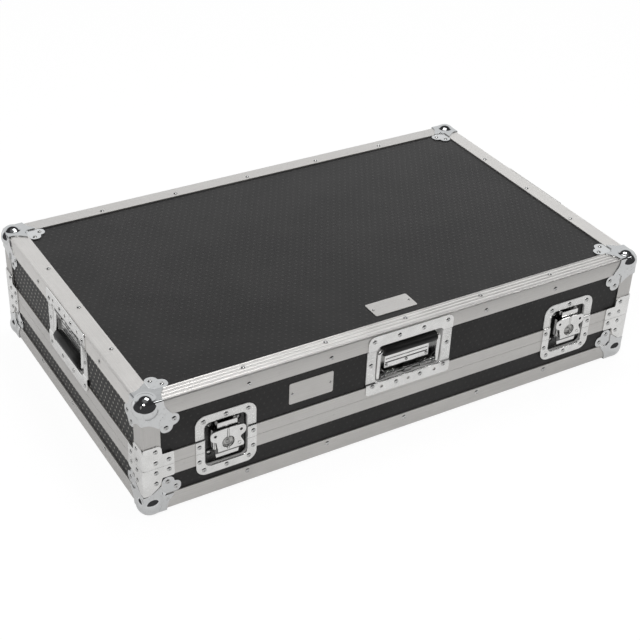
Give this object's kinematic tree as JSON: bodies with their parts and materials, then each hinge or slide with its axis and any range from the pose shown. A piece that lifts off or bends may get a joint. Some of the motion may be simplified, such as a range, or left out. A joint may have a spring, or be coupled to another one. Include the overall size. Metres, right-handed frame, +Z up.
{
  "type": "dj system flight case",
  "caption": "Flat flight case of black laminated boards with aluminium edges, steel ball corners, butterfly latches, sprung bail handles and a rear-hinged lid over a foam-lined tray.",
  "frame": {"origin": "middle of the case's length and depth, on the plane that the bottom ball corners stand on", "axes": "+X along the front to the right as seen from the front, +Y from the latch side to the hinge side, +Z up"},
  "size_m": [0.965, 0.6, 0.225],
  "materials": {
    "laminate": "plywood faced with black laminate, embossed with a fine dot pattern, satin",
    "aluminium": "anodised extrusion, satin",
    "steel": "pressed steel, bright zinc plate",
    "chrome": "pressed steel, chrome plate",
    "rubber": "black rubber grip, matte",
    "foam": "closed-cell foam sheet, black, matte"
  },
  "bodies": {
    "base": {"base_floor_board": "laminate", "base_front_board": "laminate", "base_back_board": "laminate", "base_left_board": "laminate", "base_right_board": "laminate", "bottom_angle_frame": "aluminium", "base_rim_tongue": "aluminium", "bottom_ball_corner_front_left": "chrome", "bottom_ball_corner_front_right": "chrome", "bottom_ball_corner_back_left": "chrome", "bottom_ball_corner_back_right": "chrome", "base_corner_brace_front_left": "steel", "base_corner_brace_front_right": "steel", "base_corner_brace_back_left": "steel", "base_corner_brace_back_right": "steel", "base_foam_lining": "foam", "latch_left_base_dish": "steel", "latch_right_base_dish": "steel", "hinge_left_base_leaf": "steel", "hinge_right_base_leaf": "steel"},
    "lid": {"lid_top_board": "laminate", "lid_front_board": "laminate", "lid_back_board": "laminate", "lid_left_board": "laminate", "lid_right_board": "laminate", "top_angle_front": "aluminium", "top_angle_right": "aluminium", "top_angle_back": "aluminium", "top_angle_left": "aluminium", "lid_rim_groove": "aluminium", "top_ball_corner_front_left": "chrome", "top_ball_corner_front_right": "chrome", "top_ball_corner_back_left": "chrome", "top_ball_corner_back_right": "chrome", "lid_corner_brace_front_left": "steel", "lid_corner_brace_front_right": "steel", "lid_corner_brace_back_left": "steel", "lid_corner_brace_back_right": "steel", "lid_foam_lining": "foam", "latch_left_lid_dish": "steel", "latch_right_lid_dish": "steel", "hinge_left_lid_leaf": "steel", "hinge_right_lid_leaf": "steel", "handle_front_dish": "steel", "handle_left_dish": "steel", "handle_right_dish": "steel"},
    "latch_left_hook": {"latch_left_hook_plate": "steel"},
    "latch_left_rotor": {"latch_left_rotor": "steel"},
    "latch_left_wing_l": {"latch_left_wing_left": "steel"},
    "latch_left_wing_r": {"latch_left_wing_right": "steel"},
    "latch_right_hook": {"latch_right_hook_plate": "steel"},
    "latch_right_rotor": {"latch_right_rotor": "steel"},
    "latch_right_wing_l": {"latch_right_wing_left": "steel"},
    "latch_right_wing_r": {"latch_right_wing_right": "steel"},
    "handle_front": {"handle_front_bail": "steel", "handle_front_grip": "rubber"},
    "handle_left": {"handle_left_bail": "steel", "handle_left_grip": "rubber"},
    "handle_right": {"handle_right_bail": "steel", "handle_right_grip": "rubber"}
  },
  "joints": [
    {"name": "lid_hinge", "type": "hinge", "parent": "base", "child": "lid", "pos_m": [0, 0.2967, 0.0973], "axis": [-1, 0, 0], "range_deg": [0, 100]},
    {"name": "latch_left_turn", "type": "hinge", "parent": "lid", "child": "latch_left_rotor", "pos_m": [-0.335, -0.2925, 0.1068], "axis": [0, -1, 0], "range_deg": [0, 180]},
    {"name": "latch_left_hook_slide", "type": "slide", "parent": "lid", "child": "latch_left_hook", "axis": [0, 0.4903, 0.8716], "range_m": [0, 0.00918]},
    {"name": "latch_left_wing_l_fold", "type": "hinge", "parent": "latch_left_rotor", "child": "latch_left_wing_l", "pos_m": [-0.3382, -0.2979, 0.1068], "axis": [0, 0, 1], "range_deg": [0, 90]},
    {"name": "latch_left_wing_r_fold", "type": "hinge", "parent": "latch_left_rotor", "child": "latch_left_wing_r", "pos_m": [-0.3318, -0.2979, 0.1068], "axis": [0, 0, -1], "range_deg": [0, 90]},
    {"name": "latch_right_turn", "type": "hinge", "parent": "lid", "child": "latch_right_rotor", "pos_m": [0.335, -0.2925, 0.1068], "axis": [0, -1, 0], "range_deg": [0, 180]},
    {"name": "latch_right_hook_slide", "type": "slide", "parent": "lid", "child": "latch_right_hook", "axis": [0, 0.4903, 0.8716], "range_m": [0, 0.00918]},
    {"name": "latch_right_wing_l_fold", "type": "hinge", "parent": "latch_right_rotor", "child": "latch_right_wing_l", "pos_m": [0.3318, -0.2979, 0.1068], "axis": [0, 0, 1], "range_deg": [0, 90]},
    {"name": "latch_right_wing_r_fold", "type": "hinge", "parent": "latch_right_rotor", "child": "latch_right_wing_r", "pos_m": [0.3382, -0.2979, 0.1068], "axis": [0, 0, -1], "range_deg": [0, 90]},
    {"name": "handle_front_swing", "type": "hinge", "parent": "lid", "child": "handle_front", "pos_m": [0, -0.2875, 0.1302], "axis": [1, 0, 0], "range_deg": [0, 90], "stiffness_Nm_per_rad": 0.25, "springref_deg": -34.38},
    {"name": "handle_left_swing", "type": "hinge", "parent": "lid", "child": "handle_left", "pos_m": [-0.47, 0, 0.1862], "axis": [0, 1, 0], "range_deg": [0, 90], "stiffness_Nm_per_rad": 0.25, "springref_deg": -34.38},
    {"name": "handle_right_swing", "type": "hinge", "parent": "lid", "child": "handle_right", "pos_m": [0.47, 0, 0.1862], "axis": [0, -1, 0], "range_deg": [0, 90], "stiffness_Nm_per_rad": 0.25, "springref_deg": -34.38}
  ],
  "couplings": [
    {"joint": "latch_left_turn", "follows": "latch_left_hook_slide", "rad_per_m": 342.22},
    {"joint": "latch_right_turn", "follows": "latch_right_hook_slide", "rad_per_m": 342.22}
  ]
}
